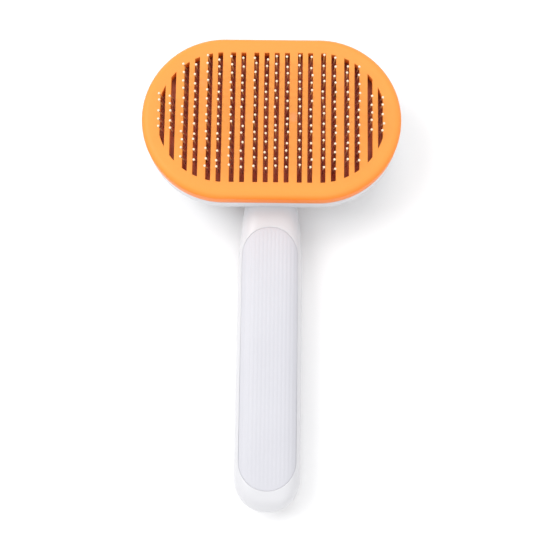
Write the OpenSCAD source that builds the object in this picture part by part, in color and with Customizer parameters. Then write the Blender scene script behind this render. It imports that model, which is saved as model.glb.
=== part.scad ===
// Slicker brush for pet grooming, with a hair-ejecting plate.
// Millimetres. +X across the head, +Y from the handle to the top of the head, +Z out of the pins.
// The brush lies on its back; the origin is the centre of the push button's flat face.

/* [Head] */
// Width of the head, across the handle
head_w = 105; // [100:1:130]
// Height of the head, along the handle
head_h = 67; // [54:1:84]
// Radius of the head's rounded back edge
back_edge_r = 11; // [6:0.5:13]
// Wall of the head's bowl
bowl_wall = 2.2; // [1.6:0.1:3.2]

/* [Ejector plate] */
// Thickness of the slotted plate
plate_t = 2.2; // [1.6:0.1:3]
// Depth of the plate's skirt, measured from its face
skirt_depth = 8.6; // [7:0.1:11]
// Wall of the skirt
skirt_wall = 2; // [1.4:0.1:2.6]
// Rounding of the plate's outer edge
plate_edge_r = 3; // [1:0.25:3.5]
// Width of one slot
slot_w = 1.9; // [1.4:0.02:2.3]
// Solid margin between the slots' ends and the plate's edge
slot_margin = 6.5; // [5:0.25:9]
// Distance from the outermost slots' centres to the ends of the head
slot_side = 8.7; // [7.5:0.1:11]
// Depth of the ribs under the wide lands
rib_depth = 1.5; // [0.6:0.1:2.2]
// Thickness of those ribs
rib_t = 1.2; // [0.6:0.1:1.6]

/* [Pins] */
// Distance between the two legs of one staple, and so between its two slots
leg_span = 4.15; // [3.6:0.05:4.6]
// Distance between staples along a slot
pin_pitch = 3.42; // [2.6:0.02:5]
// Diameter of the pin wire
wire_d = 0.45; // [0.3:0.05:0.6]
// Height of the tips' centres over the plate's face
pin_h = 9.7; // [9.3:0.1:14]
// Diameter of the ball tips
bead_d = 1.1; // [0.8:0.05:1.5]
// Lean of the wire below its knee, in degrees towards the top of the head
lower_lean = 7; // [0:0.5:10]
// Lean of the wire above its knee, in degrees towards the handle
upper_lean = 9; // [0:0.5:10]
// Gap between the outermost staple and the end of its slots
pin_end_gap = 3.3; // [3.3:0.1:8]

/* [Cushion and carrier] */
// Thickness of the rubber cushion
pad_t = 3.5; // [2.5:0.1:5]
// Gap between the cushion and the underside of the plate
pad_gap = 3; // [2.2:0.1:5]
// Thickness of the carrier's floor
carrier_t = 2.4; // [1.8:0.1:3.5]
// Wall of the carrier's rim
carrier_rim = 1.6; // [1.2:0.1:2]

/* [Push button] */
// Diameter of the button
button_d = 27; // [24:0.5:33]
// Height of the button over the back of the head
button_proud = 10; // [9.8:0.1:14]
// Travel of the button, and of the plate with it
travel = 8.5; // [6.5:0.1:8.8]
// Wall of the button
button_wall = 1.8; // [1.4:0.1:2.4]
// Thickness of the push frame
frame_t = 2.6; // [2.2:0.1:3.4]
// Height of the collar around the button
collar_h = 1.2; // [0.6:0.1:1.4]

/* [Spring] */
// Mean diameter of the return spring
spring_d = 12; // [10.5:0.25:12.8]
// Diameter of the spring wire
spring_wire = 1.2; // [0.8:0.1:1.4]
// Turns of the spring
spring_turns = 7; // [4:1:8]

/* [Handle] */
// Length of the handle, from the edge of the head to the handle's end
handle_l = 123.5; // [115:0.5:160]
// Width of the handle
handle_w = 26.6; // [25:0.2:34]
// Thickness of the handle
handle_t = 20; // [18.5:0.25:24]
// Radius of the narrowing towards the neck
neck_arc_r = 168; // [140:1:400]
// Length of the neck, from the edge of the head to where the narrowing starts
neck_l = 26.5; // [24:0.5:36]
// Radius of the rise under the neck
rise_r = 100; // [90:1:140]
// Wall of the handle's shells
handle_wall = 2.4; // [2:0.1:3]
// Height of the seam between the shells
seam_z = 9.5; // [9:0.25:11]
// Radius of the crown across the handle's front
crown_r = 40; // [30:1:80]

/* [Grip panels] */
// Width of the front grip panel
panel_w = 23; // [16:0.2:23]
// Length of the front grip panel
panel_l = 106; // [70:1:108]
// Width of the back grip panel
back_panel_w = 15; // [10:0.5:16]
// Length of the back grip panel
back_panel_l = 76; // [70:1:76]
// Thickness of the grip panels
panel_t = 1.2; // [0.8:0.1:1.4]

/* [Fits] */
// Gap around a part that slides or is dropped in
fit_gap = 0.15; // [0.1:0.05:0.3]
// Gap between parts that only come near each other
free_gap = 0.4; // [0.3:0.05:0.8]

/* [Hidden] */
$fn = 48;

// Overshoots: of a cutting shape past what it cuts, and of one joined piece into the next
over = 1;
eps = 0.02;
// Overshoot that keeps the outlines of crossing prisms from touching along a line
trim = 0.05;

// Heights, from the button's face up to the tips
frame_gap = 0.3;
travel_gap = 0.5;
crown_lift = 0.45;
knee_lift = 0.5;
boss_l = 8;
back_z = button_proud;
floor_z = back_z + bowl_wall;
frame_z = floor_z + frame_gap;
frame_top = frame_z + frame_t;
carrier_z = frame_top + travel + travel_gap;
boss_split_z = carrier_z - boss_l;
pad_z = carrier_z + carrier_t;
pad_top = pad_z + pad_t;
plate_z = pad_top + pad_gap;
face_z = plate_z + plate_t;
skirt_z = face_z - skirt_depth;
bowl_rim_z = skirt_z - free_gap;
crown_z = pad_z + crown_lift;
knee_z = plate_z + knee_lift;
tip_z = face_z + pin_h;

// Columns of staples: pairs of slots, with the four middle slots evenly spaced
columns = 10;
slot_span = head_w - 2 * slot_side;
wide_pitch = (slot_span - (columns + 1) * leg_span) / (columns - 2);
function column_x(k) =
    let (s = k < 5 ? -1 : 1, n = k < 5 ? 4 - k : k - 5)
    s * (leg_span + n * (leg_span + wide_pitch));
function land_x(i) = leg_span + (leg_span + wide_pitch) * (i - 1 / 2);
slot_r = head_h / 2 - slot_margin;
slot_straight = (head_w - head_h) / 2;
function slot_half(x) = sqrt(max(0, slot_r * slot_r - pow(max(0, abs(x) - slot_straight), 2)));
function column_reach(k) = slot_half(abs(column_x(k)) + leg_span / 2) - pin_end_gap;
function column_count(k) = 1 + floor(2 * column_reach(k) / pin_pitch);
function pin_y(k, i) = (i - (column_count(k) - 1) / 2) * pin_pitch;
knee_dy = (knee_z - crown_z) * tan(lower_lean);
tip_dy = knee_dy - (tip_z - knee_z) * tan(upper_lean);

// Skirt's inner rounding, and the blades between the plate and the push frame
skirt_inner_r = 1;
blade_max_t = 3;
blade_t = min(blade_max_t, wide_pitch - slot_w - 2 * fit_gap);
blade_l = 7;
blade_screw_depth = 7;
outer_blade = [land_x(3), 14];
inner_blade = [land_x(1), 0];

// Screws: thread, head and pilot sizes
screw_d = 2.6;
screw_core_d = 2;
screw_head_d = 4.6;
screw_head_h = 2;
small_core_d = 1.5;
small_hole_d = 2;
small_head_d = 3.2;
small_head_h = 1.2;
pilot_gap = 0.02;
head_gap = 0.4;
shank_gap = 0.3;
boss_r = 3.25;

// Button, collar and push frame
button_r = button_d / 2;
button_floor = 2.4;
button_edge_r = 1.5;
button_boss_r = 1.7;
button_screw_r = button_r - button_wall - 1;
button_screw_l = 5.5;
button_screw_angles = [60, 120, 240, 300];
hub_r = button_r + 2.5;
hub_hole_r = spring_d / 2 + spring_wire / 2 + 1.6;
collar_r = hub_r + 0.5;
arm_w = 8;
arm_pad_r = 4.2;

// Carrier: its outline, the seat of the spring and the places of its screws
carrier_inset = skirt_wall + 2 * free_gap;
carrier_w = head_w - 2 * carrier_inset;
carrier_h = head_h - 2 * carrier_inset;
carrier_rim_drop = 0.5;
spring_seat_h = 2;
spring_seat_d = spring_d - spring_wire - 1;
side_screw_x = head_w / 2 - 15;
hub_screw_r = hub_r + boss_r + 2.2;
carrier_screw_places = [
    [side_screw_x, 0], [-side_screw_x, 0],
    for (a = [56, 124, 236, 304]) hub_screw_r * [cos(a), sin(a)]
];

// Handle
half_w = handle_w / 2;
handle_reach = head_h / 2 + handle_l;
end_centre_y = -handle_reach + half_w;
handle_start_y = -head_h / 2 + 4.5;
handle_edge_r = 8;
handle_front_r = 5.5;
handle_back_r = 5;
neck_start = head_h / 2 + neck_l;
rise_start = neck_start + 12;

// Grip panels and the screws under the back one
panel_end_gap = 9;
back_panel_end_gap = 8;
panel_centre_y = -handle_reach + panel_end_gap + panel_l / 2;
back_panel_y = -handle_reach + back_panel_end_gap + back_panel_l / 2;
handle_screw_y = [back_panel_y + 31, back_panel_y + 4, back_panel_y - 23];
handle_head_z = panel_t + 0.3;
handle_pilot_top = handle_t - panel_t - 0.6;

// Tang, which joins the bowl to the handle
tang_w = 14;
tang_wall = 1.6;
tang_low = rise_r - sqrt(pow(rise_r - handle_wall, 2) - pow(rise_start + handle_start_y, 2)) + fit_gap;
tang_high = handle_t - crown_r - fit_gap + sqrt(pow(crown_r - handle_wall, 2) - pow(tang_w / 2, 2));
tang_end_y = handle_screw_y[0] - 6;

// ---- Outlines ----

// Stadium outline: a bar with half-round ends
module stadium(w, h) {
    square([w - h, h], center = true);
    for (side = [-1, 1])
        translate([side * (w - h) / 2, 0])
            circle(d = h);
}

// Stadium prism between two heights
module stadium_prism(w, h, z0, z1) {
    translate([0, 0, z0])
        linear_extrude(z1 - z0)
            stadium(w, h);
}

// Half profile with one rounded outer corner, at the bottom or at the top
module edge_profile(r, z0, z1, edge, at_top) {
    corner_z = at_top ? z1 - edge : z0 + edge;
    translate([0, z0])
        square([r - edge, z1 - z0]);
    translate([0, at_top ? z0 : corner_z])
        square([r, z1 - z0 - edge]);
    translate([r - edge, corner_z])
        intersection() {
            circle(r = edge);
            translate([0, at_top ? 0 : -edge])
                square([edge, edge]);
        }
}

// Body of stadium outline whose bottom or top edge is rounded
module rounded_body(w, h, z0, z1, edge, at_top = false) {
    s = (w - h) / 2;
    for (side = [-1, 1])
        translate([side * s, 0, 0])
            rotate([0, 0, side * 90 - 180])
                rotate_extrude(angle = 180, $fn = 96)
                    edge_profile(h / 2, z0, z1, edge, at_top);
    rotate([90, 0, 90])
        translate([0, 0, -s])
            linear_extrude(2 * s) {
                edge_profile(h / 2, z0, z1, edge, at_top);
                mirror([1, 0])
                    edge_profile(h / 2, z0, z1, edge, at_top);
            }
}

// ---- Fasteners ----

// Screw pointing up from z0, its head at the bottom
module screw(d, length, head_d, head_h) {
    cylinder(d = head_d, h = head_h, $fn = 32);
    translate([0, 0, head_h])
        cylinder(d = d, h = length, $fn = 32);
}

// ---- Head ----

module bowl_outside(grow = 0) {
    rounded_body(head_w + 2 * grow, head_h + 2 * grow, back_z - grow, bowl_rim_z + grow, back_edge_r);
}

module bowl_inside() {
    rounded_body(head_w - 2 * bowl_wall, head_h - 2 * bowl_wall, floor_z, bowl_rim_z + over,
        back_edge_r - bowl_wall);
}

module head_housing() {
    color("whitesmoke")
        difference() {
            union() {
                difference() {
                    bowl_outside();
                    bowl_inside();
                }
                translate([0, 0, back_z - collar_h])
                    cylinder(r = collar_r, h = collar_h + over, $fn = 96);
                for (p = carrier_screw_places)
                    translate([p[0], p[1], floor_z - over])
                        cylinder(r = boss_r, h = boss_split_z - floor_z + over);
                tang();
            }
            translate([0, 0, back_z - collar_h - over])
                cylinder(r = button_r + fit_gap, h = collar_h + bowl_wall + 2 * over, $fn = 96);
            for (p = carrier_screw_places)
                translate([p[0], p[1], back_z - over]) {
                    cylinder(d = screw_head_d + head_gap, h = over + screw_head_h + head_gap, $fn = 32);
                    cylinder(d = screw_d + shank_gap, h = boss_split_z, $fn = 32);
                }
            translate([0, handle_screw_y[0], 0])
                cylinder(d = screw_d + shank_gap, h = handle_t, $fn = 32);
        }
}

// Channel-shaped tongue that runs from the bowl into the handle
module tang() {
    start_y = -head_h / 2 + bowl_wall / 2;
    height = tang_high - tang_low;
    difference() {
        translate([-tang_w / 2, tang_end_y, tang_low])
            cube([tang_w, start_y - tang_end_y, height]);
        translate([-tang_w / 2 + tang_wall, tang_end_y + tang_wall, tang_low - over])
            cube([tang_w - 2 * tang_wall, -head_h / 2 - over - tang_end_y - tang_wall,
                height + over - tang_wall]);
        bowl_inside();
    }
    translate([0, handle_screw_y[0], tang_low])
        cylinder(r = boss_r, h = height);
}

// Rectangular blade posts or their slots, grown by a clearance
module blades(z0, z1, grow = 0) {
    for (sx = [-1, 1]) {
        translate([sx * inner_blade[0], inner_blade[1], (z0 + z1) / 2])
            cube([blade_t + 2 * grow, blade_l + 2 * grow, z1 - z0], center = true);
        for (sy = [-1, 1])
            translate([sx * outer_blade[0], sy * outer_blade[1], (z0 + z1) / 2])
                cube([blade_t + 2 * grow, blade_l + 2 * grow, z1 - z0], center = true);
    }
}

module pin_carrier() {
    color("gainsboro")
        difference() {
            union() {
                stadium_prism(carrier_w, carrier_h, carrier_z, pad_top - carrier_rim_drop);
                for (p = carrier_screw_places)
                    translate([p[0], p[1], boss_split_z])
                        cylinder(r = boss_r, h = boss_l + over);
                translate([0, 0, carrier_z - spring_seat_h])
                    cylinder(d = spring_seat_d, h = spring_seat_h + over);
            }
            stadium_prism(carrier_w - 2 * carrier_rim, carrier_h - 2 * carrier_rim, pad_z, pad_top);
            for (p = carrier_screw_places)
                translate([p[0], p[1], boss_split_z - over])
                    cylinder(d = screw_core_d, h = boss_l + over, $fn = 32);
            blades(carrier_z - over, pad_z + over, fit_gap);
        }
}

module cushion_pad() {
    color("rosybrown")
        difference() {
            stadium_prism(carrier_w - 2 * carrier_rim - fit_gap, carrier_h - 2 * carrier_rim - fit_gap,
                pad_z, pad_top);
            blades(pad_z - over, pad_top + over, free_gap);
        }
}

module slots_2d() {
    intersection() {
        stadium(head_w - 2 * slot_margin, head_h - 2 * slot_margin);
        for (k = [0 : columns - 1], side = [-1, 1])
            translate([column_x(k) + side * leg_span / 2, 0])
                square([slot_w, head_h], center = true);
    }
}

module ejector_plate() {
    color("darkorange")
        difference() {
            union() {
                difference() {
                    rounded_body(head_w, head_h, skirt_z, face_z, plate_edge_r, at_top = true);
                    rounded_body(head_w - 2 * skirt_wall, head_h - 2 * skirt_wall, skirt_z - over,
                        plate_z, skirt_inner_r, at_top = true);
                }
                for (side = [-1, 1], i = [1 : 4])
                    translate([side * land_x(i), 0, plate_z - rib_depth / 2])
                        cube([rib_t, 2 * slot_half(land_x(i)), rib_depth + eps], center = true);
                blades(frame_top, plate_z + eps);
            }
            translate([0, 0, plate_z - over])
                linear_extrude(plate_t + 2 * over)
                    slots_2d();
            for (sx = [-1, 1], sy = [-1, 1])
                translate([sx * outer_blade[0], sy * outer_blade[1], frame_top - over])
                    cylinder(d = small_core_d, h = blade_screw_depth + over, $fn = 32);
        }
}

// ---- Push button and its frame ----

module push_frame() {
    color("white")
        translate([0, 0, frame_z])
            difference() {
                linear_extrude(frame_t)
                    frame_outline();
                for (sx = [-1, 1], sy = [-1, 1])
                    translate([sx * outer_blade[0], sy * outer_blade[1], -over])
                        cylinder(d = small_head_d + 2 * fit_gap, h = over + small_head_h, $fn = 32);
                for (a = button_screw_angles)
                    rotate([0, 0, a])
                        translate([button_screw_r, 0, frame_t - small_head_h])
                            cylinder(d = small_head_d + 2 * fit_gap, h = small_head_h + over, $fn = 32);
            }
}

// Plan of the push frame: a hub ring with an arm and a round pad to each outer blade
module frame_outline() {
    difference() {
        union() {
            circle(r = hub_r, $fn = 96);
            for (sx = [-1, 1], sy = [-1, 1]) {
                rotate([0, 0, atan2(sy * outer_blade[1], sx * outer_blade[0])])
                    translate([hub_hole_r + over, -arm_w / 2])
                        square([norm(outer_blade) - hub_hole_r - over, arm_w]);
                translate([sx * outer_blade[0], sy * outer_blade[1]])
                    circle(r = arm_pad_r);
            }
        }
        circle(r = hub_hole_r, $fn = 64);
        for (sx = [-1, 1], sy = [-1, 1])
            translate([sx * outer_blade[0], sy * outer_blade[1]])
                circle(d = small_hole_d, $fn = 32);
        for (a = button_screw_angles)
            rotate([0, 0, a])
                translate([button_screw_r, 0])
                    circle(d = small_hole_d, $fn = 32);
    }
}

module frame_screws() {
    color("silver")
        for (sx = [-1, 1], sy = [-1, 1])
            translate([sx * outer_blade[0], sy * outer_blade[1], frame_z])
                screw(small_core_d - 2 * pilot_gap, frame_t - small_head_h + blade_screw_depth - over,
                    small_head_d, small_head_h);
}

module thumb_button() {
    color("darkorange")
        difference() {
            union() {
                difference() {
                    union() {
                        translate([0, 0, button_edge_r])
                            cylinder(r = button_r, h = frame_z - button_edge_r, $fn = 96);
                        rotate_extrude($fn = 96)
                            edge_profile(button_r, 0, 2 * button_edge_r, button_edge_r, false);
                    }
                    translate([0, 0, button_floor])
                        cylinder(r = button_r - button_wall, h = frame_z, $fn = 96);
                }
                for (a = button_screw_angles)
                    rotate([0, 0, a])
                        translate([button_screw_r, 0, button_floor - eps])
                            cylinder(r = button_boss_r, h = frame_z - button_floor + eps, $fn = 32);
            }
            for (a = button_screw_angles)
                rotate([0, 0, a])
                    translate([button_screw_r, 0, frame_z - button_screw_l - 1.5])
                        cylinder(d = small_core_d, h = button_screw_l + 1.5 + over, $fn = 32);
        }
}

module button_screws() {
    color("silver")
        for (a = button_screw_angles)
            rotate([0, 0, a])
                translate([button_screw_r, 0, frame_top])
                    mirror([0, 0, 1])
                        screw(small_core_d - 2 * pilot_gap, button_screw_l, small_head_d, small_head_h);
}

// Helical compression spring between the button and the carrier, swept with a ring every few degrees
module return_spring() {
    z0 = button_floor + spring_wire / 2;
    z1 = carrier_z - spring_wire / 2;
    steps = spring_turns * 20;
    sides = 8;
    closed = 0.75 / spring_turns;
    function rise(t) = t < closed ? 0.045 * t / closed
        : t > 1 - closed ? 1 - 0.045 * (1 - t) / closed
        : 0.045 + 0.91 * (t - closed) / (1 - 2 * closed);
    points = [
        for (i = [0 : steps], j = [0 : sides - 1])
            let (t = i / steps, a = 360 * spring_turns * t, b = 360 * j / sides,
                r = spring_d / 2 + spring_wire / 2 * cos(b))
            [r * cos(a), r * sin(a), z0 + (z1 - z0) * rise(t) - spring_wire / 2 * sin(b)]
    ];
    color("silver")
        polyhedron(points, tube_faces(steps + 1, sides), convexity = 10);
}

module carrier_screws() {
    color("silver")
        for (p = carrier_screw_places)
            translate([p[0], p[1], back_z + head_gap])
                screw(screw_core_d - 2 * pilot_gap, boss_split_z + 6.5 - back_z - screw_head_h,
                    screw_head_d, screw_head_h);
}

// ---- Pins ----

// Rings of points round a bent wire: the first stands square to the wire, and each later one is
// the ring before it, carried along the wire to the plane that halves the next bend
function unit(v) = v / norm(v);
function wire_ring(path, i, r, sides) =
    let (last = len(path) - 1, before = unit(path[max(i, 1)] - path[max(i, 1) - 1]),
        after = i == last ? before : unit(path[i + 1] - path[i]), middle = unit(before + after))
    i == 0
        ? [for (j = [0 : sides - 1])
            path[0] + r * (cos(360 * j / sides) * [1, 0, 0]
                + sin(360 * j / sides) * cross(before, [1, 0, 0]))]
        : [for (p = wire_ring(path, i - 1, r, sides))
            p + before * ((path[i] - p) * middle) / (before * middle)];

// Faces of a tube made of rings, closed at both ends
function tube_faces(rings, sides) = concat(
    [[for (j = [0 : sides - 1]) j]],
    [for (i = [0 : rings - 2], j = [0 : sides - 1])
        [i * sides + j, (i + 1) * sides + j, (i + 1) * sides + (j + 1) % sides, i * sides + (j + 1) % sides]],
    [[for (j = [sides - 1 : -1 : 0]) (rings - 1) * sides + j]]);

// One bent wire staple: a bar in the cushion and two legs with a knee under the plate
module staple() {
    sides = 6;
    path = [
        [-leg_span / 2, tip_dy, tip_z], [-leg_span / 2, knee_dy, knee_z], [-leg_span / 2, 0, crown_z],
        [leg_span / 2, 0, crown_z], [leg_span / 2, knee_dy, knee_z], [leg_span / 2, tip_dy, tip_z]
    ];
    points = [for (i = [0 : len(path) - 1], p = wire_ring(path, i, wire_d / 2, sides)) p];
    polyhedron(points, tube_faces(len(path), sides), convexity = 4);
}

module pin_column(k) {
    color("lightsteelblue")
        for (i = [0 : column_count(k) - 1])
            translate([column_x(k), pin_y(k, i), 0])
                staple();
}

module tip_beads(k) {
    color("linen")
        for (i = [0 : column_count(k) - 1], side = [-1, 1])
            translate([column_x(k) + side * leg_span / 2, pin_y(k, i) + tip_dy, tip_z])
                sphere(d = bead_d, $fn = 24);
}

// ---- Handle ----

// Plan outline of the handle: straight sides, arcs in to the neck, a half-round end
module handle_plan(inset) {
    w = half_w - inset;
    translate([-w, end_centre_y])
        square([2 * w, -neck_start - end_centre_y]);
    intersection() {
        translate([0, end_centre_y])
            circle(r = w, $fn = 96);
        translate([-half_w, -handle_reach - over])
            square([handle_w, end_centre_y + handle_reach + over]);
    }
    intersection() {
        for (side = [-1, 1])
            translate([side * (half_w - neck_arc_r), -neck_start])
                circle(r = neck_arc_r - inset, $fn = 360);
        translate([-half_w, -neck_start])
            square([handle_w, neck_start]);
    }
}

// Side profile of the handle, drawn as (y, z): a flat back that rises under the neck
module handle_side(inset) {
    low = inset - trim;
    high = handle_t - inset + trim;
    y1 = -handle_reach + inset - trim;
    r = handle_edge_r - inset;
    translate([y1 + r, low])
        square([-rise_start - y1 - r, high - low]);
    translate([y1, low + r])
        square([r, high - low - 2 * r]);
    for (z = [low + r, high - r])
        translate([y1 + r, z])
            intersection() {
                circle(r = r, $fn = 64);
                translate([-r, z < handle_t / 2 ? -r : 0])
                    square([r, r]);
            }
    intersection() {
        translate([-rise_start, low])
            square([rise_start + handle_start_y + 6 * over, high - low]);
        translate([-rise_start, rise_r])
            circle(r = rise_r - low, $fn = 360);
    }
}

// Cross-section of the handle, drawn as (x, z): crowned front, tighter corners at the back
module handle_section(inset) {
    w = half_w - inset + trim;
    back_r = handle_back_r - inset;
    front_r = handle_front_r - inset;
    intersection() {
        translate([0, handle_t - crown_r])
            circle(r = crown_r - inset, $fn = 180);
        union() {
            translate([-w, inset + back_r])
                square([2 * w, handle_t - 2 * inset - back_r - front_r]);
            translate([-w + back_r, inset])
                square([2 * (w - back_r), back_r]);
            translate([-w + front_r, handle_t - inset - front_r])
                square([2 * (w - front_r), front_r + over]);
            for (side = [-1, 1]) {
                translate([side * (w - back_r), inset + back_r])
                    circle(r = back_r);
                translate([side * (w - front_r), handle_t - inset - front_r])
                    circle(r = front_r);
            }
        }
    }
}

module handle_body(inset) {
    intersection() {
        linear_extrude(handle_t + over)
            handle_plan(inset);
        rotate([90, 0, 90])
            translate([0, 0, -half_w - over])
                linear_extrude(handle_w + 2 * over)
                    handle_side(inset);
        rotate([90, 0, 0])
            linear_extrude(handle_reach + over)
                handle_section(inset);
    }
}

// Region of the whole handle above or below the seam
module seam_half(front) {
    translate([-half_w - over, -handle_reach - over, front ? seam_z : -over])
        cube([handle_w + 2 * over, handle_reach + 2 * over + handle_start_y,
            front ? handle_t : seam_z + over]);
}

module panel_prism(w, l, y, z0, z1) {
    translate([0, y, z0])
        rotate([0, 0, 90])
            linear_extrude(z1 - z0)
                stadium(l, w);
}

// Cylinder along the handle that matches its crown
module crown(r) {
    translate([0, over, handle_t - crown_r])
        rotate([90, 0, 0])
            cylinder(r = r, h = handle_reach + 2 * over, $fn = 180);
}

// Hollow handle above or below the seam
module shell_half(front) {
    intersection() {
        difference() {
            handle_body(0);
            handle_body(handle_wall);
        }
        seam_half(front);
    }
}

module handle_front_shell() {
    boss_top = handle_t - handle_wall + 0.5;
    color("whitesmoke")
        difference() {
            union() {
                shell_half(true);
                for (i = [0 : 2])
                    let (low = i == 0 ? tang_high : seam_z)
                        translate([0, handle_screw_y[i], low])
                            cylinder(r = boss_r, h = boss_top - low);
            }
            bowl_outside(fit_gap);
            difference() {
                panel_prism(panel_w + 2 * fit_gap, panel_l + 2 * fit_gap, panel_centre_y, seam_z,
                    handle_t + over);
                crown(crown_r - panel_t);
            }
            for (y = handle_screw_y)
                translate([0, y, seam_z - over])
                    cylinder(d = screw_core_d, h = handle_pilot_top - seam_z + over, $fn = 32);
        }
}

module handle_back_shell() {
    color("whitesmoke")
        difference() {
            union() {
                shell_half(false);
                for (i = [0 : 2])
                    translate([0, handle_screw_y[i], over])
                        cylinder(r = boss_r, h = (i == 0 ? tang_low : seam_z) - over);
            }
            bowl_outside(fit_gap);
            panel_prism(back_panel_w + 2 * fit_gap, back_panel_l + 2 * fit_gap, back_panel_y, -over,
                panel_t);
            for (y = handle_screw_y)
                translate([0, y, -over]) {
                    cylinder(d = screw_head_d + head_gap, h = over + handle_head_z + screw_head_h,
                        $fn = 32);
                    cylinder(d = screw_d + shank_gap, h = handle_t, $fn = 32);
                }
        }
}

module handle_screws() {
    color("silver")
        for (y = handle_screw_y)
            translate([0, y, handle_head_z])
                screw(screw_core_d - 2 * pilot_gap, handle_pilot_top - 0.6 - handle_head_z - screw_head_h,
                    screw_head_d, screw_head_h);
}

module front_grip_panel() {
    color("lavender")
        intersection() {
            panel_prism(panel_w, panel_l, panel_centre_y, seam_z, handle_t + over);
            difference() {
                crown(crown_r);
                crown(crown_r - panel_t + trim);
            }
        }
}

module back_grip_panel() {
    color("lavender")
        panel_prism(back_panel_w, back_panel_l, back_panel_y, 0, panel_t);
}

handle_front_shell();
handle_back_shell();
front_grip_panel();
back_grip_panel();
handle_screws();
head_housing();
pin_carrier();
cushion_pad();
ejector_plate();
push_frame();
frame_screws();
thumb_button();
button_screws();
return_spring();
carrier_screws();
pin_column(0);  // pin_column_01
pin_column(1);  // pin_column_02
pin_column(2);  // pin_column_03
pin_column(3);  // pin_column_04
pin_column(4);  // pin_column_05
pin_column(5);  // pin_column_06
pin_column(6);  // pin_column_07
pin_column(7);  // pin_column_08
pin_column(8);  // pin_column_09
pin_column(9);  // pin_column_10
tip_beads(0);  // tip_beads_01
tip_beads(1);  // tip_beads_02
tip_beads(2);  // tip_beads_03
tip_beads(3);  // tip_beads_04
tip_beads(4);  // tip_beads_05
tip_beads(5);  // tip_beads_06
tip_beads(6);  // tip_beads_07
tip_beads(7);  // tip_beads_08
tip_beads(8);  // tip_beads_09
tip_beads(9);  // tip_beads_10
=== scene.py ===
# %% [markdown]
# A slicker brush for pets, laid on its back with its pins up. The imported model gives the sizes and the
# places. Boxes and cylinders would do for a sketch, but every rounded edge is wanted here, so each
# visible piece is a surface worked out with numpy and laid over its node.

# %% The frame
import math
import bmesh
import bpy
import numpy as np
from mathutils import Matrix, Vector
from mathutils.geometry import delaunay_2d_cdt


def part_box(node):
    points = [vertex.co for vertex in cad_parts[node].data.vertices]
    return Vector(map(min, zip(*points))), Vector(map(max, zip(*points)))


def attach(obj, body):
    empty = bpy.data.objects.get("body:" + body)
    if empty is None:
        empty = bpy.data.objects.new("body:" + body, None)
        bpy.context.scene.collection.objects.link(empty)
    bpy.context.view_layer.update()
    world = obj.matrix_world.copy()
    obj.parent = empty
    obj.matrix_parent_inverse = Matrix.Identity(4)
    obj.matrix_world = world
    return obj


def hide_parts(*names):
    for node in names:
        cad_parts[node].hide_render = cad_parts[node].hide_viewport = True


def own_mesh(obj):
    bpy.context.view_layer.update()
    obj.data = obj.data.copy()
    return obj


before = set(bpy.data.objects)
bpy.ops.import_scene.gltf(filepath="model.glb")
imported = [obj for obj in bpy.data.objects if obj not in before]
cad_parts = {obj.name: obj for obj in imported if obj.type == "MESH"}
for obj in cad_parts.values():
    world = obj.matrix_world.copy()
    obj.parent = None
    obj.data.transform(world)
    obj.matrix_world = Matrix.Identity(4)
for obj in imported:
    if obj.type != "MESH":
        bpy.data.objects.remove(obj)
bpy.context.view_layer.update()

# %% [markdown]
# All sizes below are in millimetres, as a moulder would give them, and a mesh is scaled once, as it is
# made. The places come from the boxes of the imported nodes, so a change in the design moves the looks
# too. What a box can't tell, such as a wall or a rounding, is a named value beside its piece.

# %% Sizes read from the frame
MM = 0.001


def low_high(node):
    """A node's lowest and highest corners, in millimetres."""
    low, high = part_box(node)
    return np.array(low) / MM, np.array(high) / MM


plate_low, plate_high = low_high("ejector_plate")
button_low, button_high = low_high("thumb_button")
pad_low, pad_high = low_high("cushion_pad")
spring_low, spring_high = low_high("return_spring")
handle_low, handle_high = low_high("handle_front_shell")

head_w = plate_high[0] - plate_low[0]
head_h = plate_high[1] - plate_low[1]
head_r = head_h / 2
spine = (head_w - head_h) / 2
face_z = plate_high[2]
rim_z = low_high("head_housing")[1][2]
frame_top = low_high("push_frame")[1][2]

# %% [markdown]
# Nearly every surface here is a grid: rows one way, columns the other. Blender could make the faces
# one by one, but numpy numbers them all at once. These helpers turn grids of points into faces, join
# several grids into one mesh, and close it by merging the points they share.

# %% Grids and meshes
BEVEL_STEPS = 2
BEVEL_FROM = 50


def grid_quads(rows, columns, wrap_rows=False, wrap_columns=False):
    """Quads of a grid of rows by columns points, where quad (i, j) joins points (i, j) to (i+1, j+1)."""
    i = np.arange(rows if wrap_rows else rows - 1)[:, None]
    j = np.arange(columns if wrap_columns else columns - 1)[None, :]
    i2, j2 = (i + 1) % rows, (j + 1) % columns
    corners = [i * columns + j, i2 * columns + j, i2 * columns + j2, i * columns + j2]
    return np.stack(np.broadcast_arrays(*corners), axis=-1).reshape(-1, 4)


class Net:
    """Collects grids of points, in millimetres, that make up one piece."""

    def __init__(self):
        self.points, self.faces, self.count = [], [], 0

    def add(self, points, faces):
        """Adds loose points and the faces between them."""
        points = np.asarray(points, float).reshape(-1, 3)
        self.points.append(points)
        self.faces.extend((np.asarray(faces) + self.count).tolist())
        self.count += len(points)

    def grid(self, points, wrap_rows=False, wrap_columns=False):
        """Adds a grid whose shape is rows by columns by 3."""
        rows, columns = points.shape[:2]
        self.add(points, grid_quads(rows, columns, wrap_rows, wrap_columns))

    def many(self, points, wrap_columns=True):
        """Adds equal grids at once, from an array of copies by rows by columns by 3."""
        copies, rows, columns = points.shape[:3]
        quads = grid_quads(rows, columns, False, wrap_columns)
        starts = np.arange(copies)[:, None, None] * rows * columns
        self.add(points, (quads[None] + starts).reshape(-1, 4))


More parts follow.
